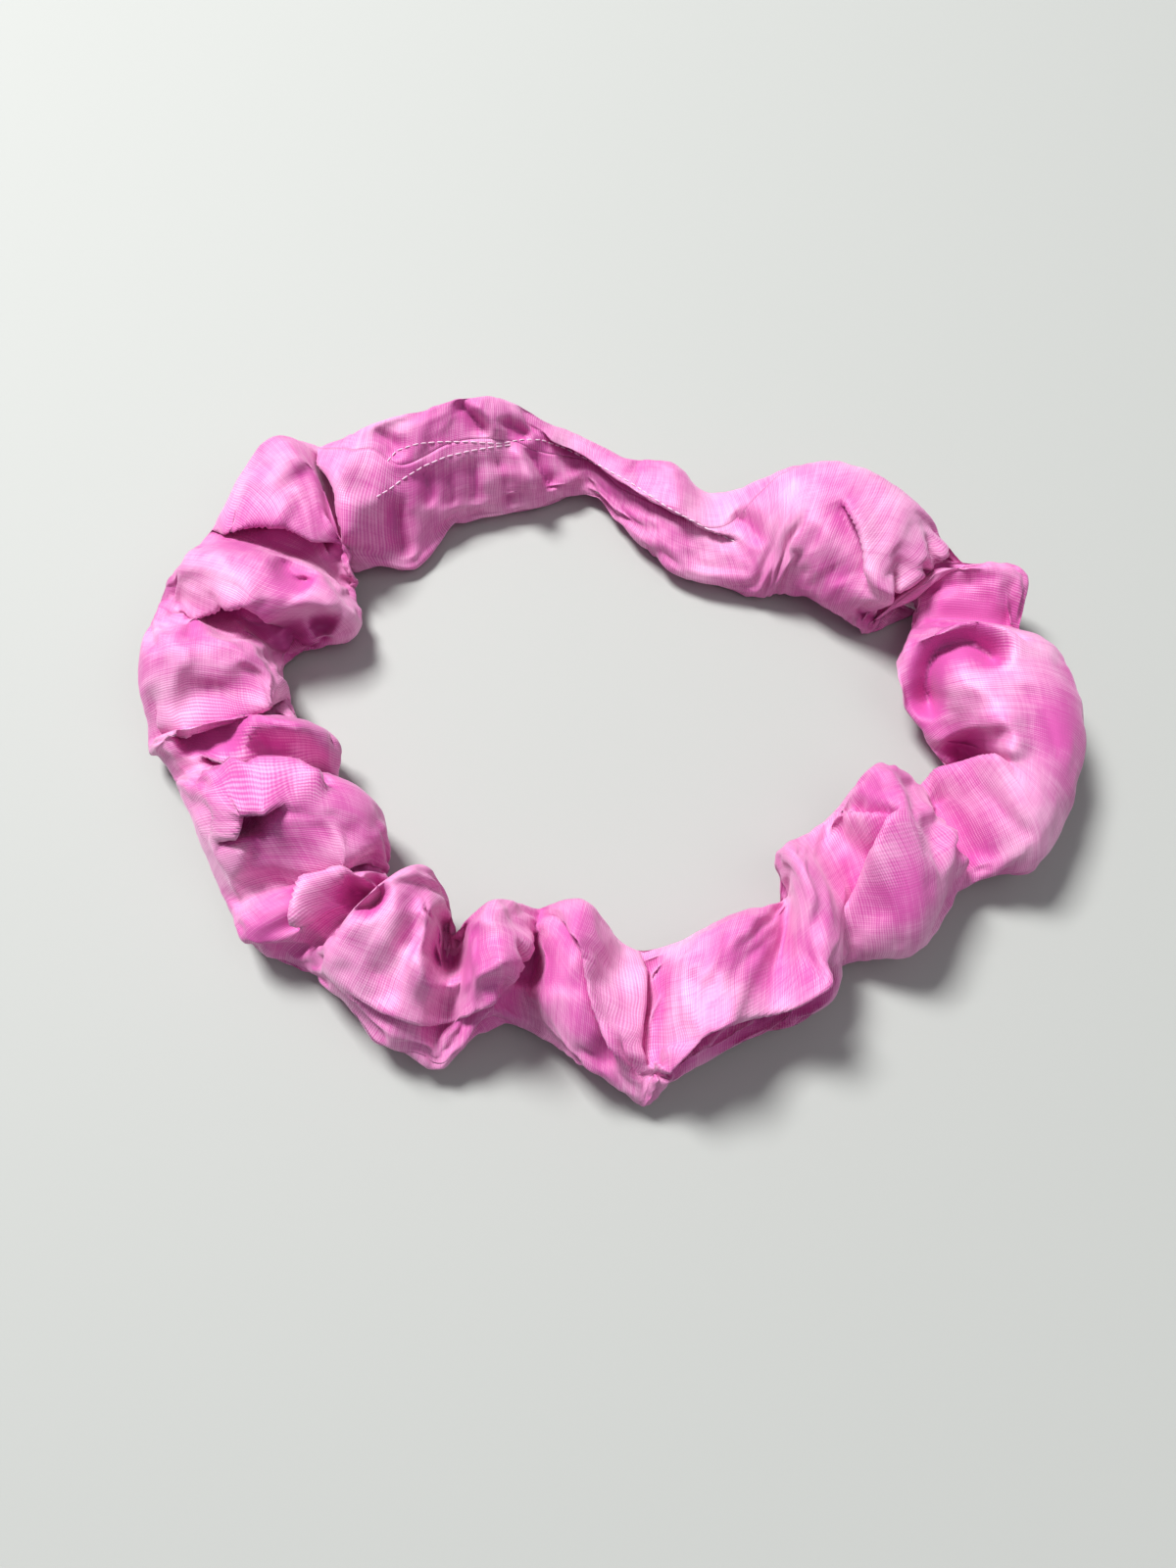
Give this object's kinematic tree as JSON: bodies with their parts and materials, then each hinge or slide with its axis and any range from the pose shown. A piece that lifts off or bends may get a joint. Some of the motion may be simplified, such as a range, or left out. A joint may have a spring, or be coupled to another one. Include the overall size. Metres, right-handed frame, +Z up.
{
  "type": "scrunchie",
  "caption": "Wide gathered scrunchie of pink satin-finish cloth over a hidden elastic loop, lying relaxed in an uneven ring with a topstitched closing at the back.",
  "frame": {"origin": "centre of the footprint, on the surface that the band lies on", "axes": "+Z up from the surface; +X to the right along the ring's longest width; +Y to the back, where the tube was closed; the front is pulled along -Y"},
  "size_m": [0.2102, 0.167, 0.0269],
  "materials": {
    "casing_cloth": "satin",
    "elastic_braid": "matte",
    "sewing_thread": "satin"
  },
  "bodies": {
    "back": {"casing_length_01": "casing_cloth", "casing_length_02": "casing_cloth", "casing_length_03": "casing_cloth", "casing_length_10": "casing_cloth", "casing_length_11": "casing_cloth", "casing_length_12": "casing_cloth", "elastic_back": "elastic_braid", "elastic_lap": "elastic_braid", "elastic_zigzag": "sewing_thread", "seam_allowance_back": "casing_cloth", "seam_thread_back": "sewing_thread", "closing_topstitch": "sewing_thread", "cross_seam": "casing_cloth"},
    "front": {"casing_length_04": "casing_cloth", "casing_length_05": "casing_cloth", "casing_length_06": "casing_cloth", "casing_length_07": "casing_cloth", "casing_length_08": "casing_cloth", "casing_length_09": "casing_cloth", "elastic_front": "elastic_braid", "seam_allowance_front": "casing_cloth", "seam_thread_front": "sewing_thread"}
  },
  "joints": [
    {"name": "stretch", "type": "slide", "parent": "back", "child": "front", "axis": [0, -1, 0], "range_m": [0, 0.05], "stiffness_N_per_m": 60}
  ]
}
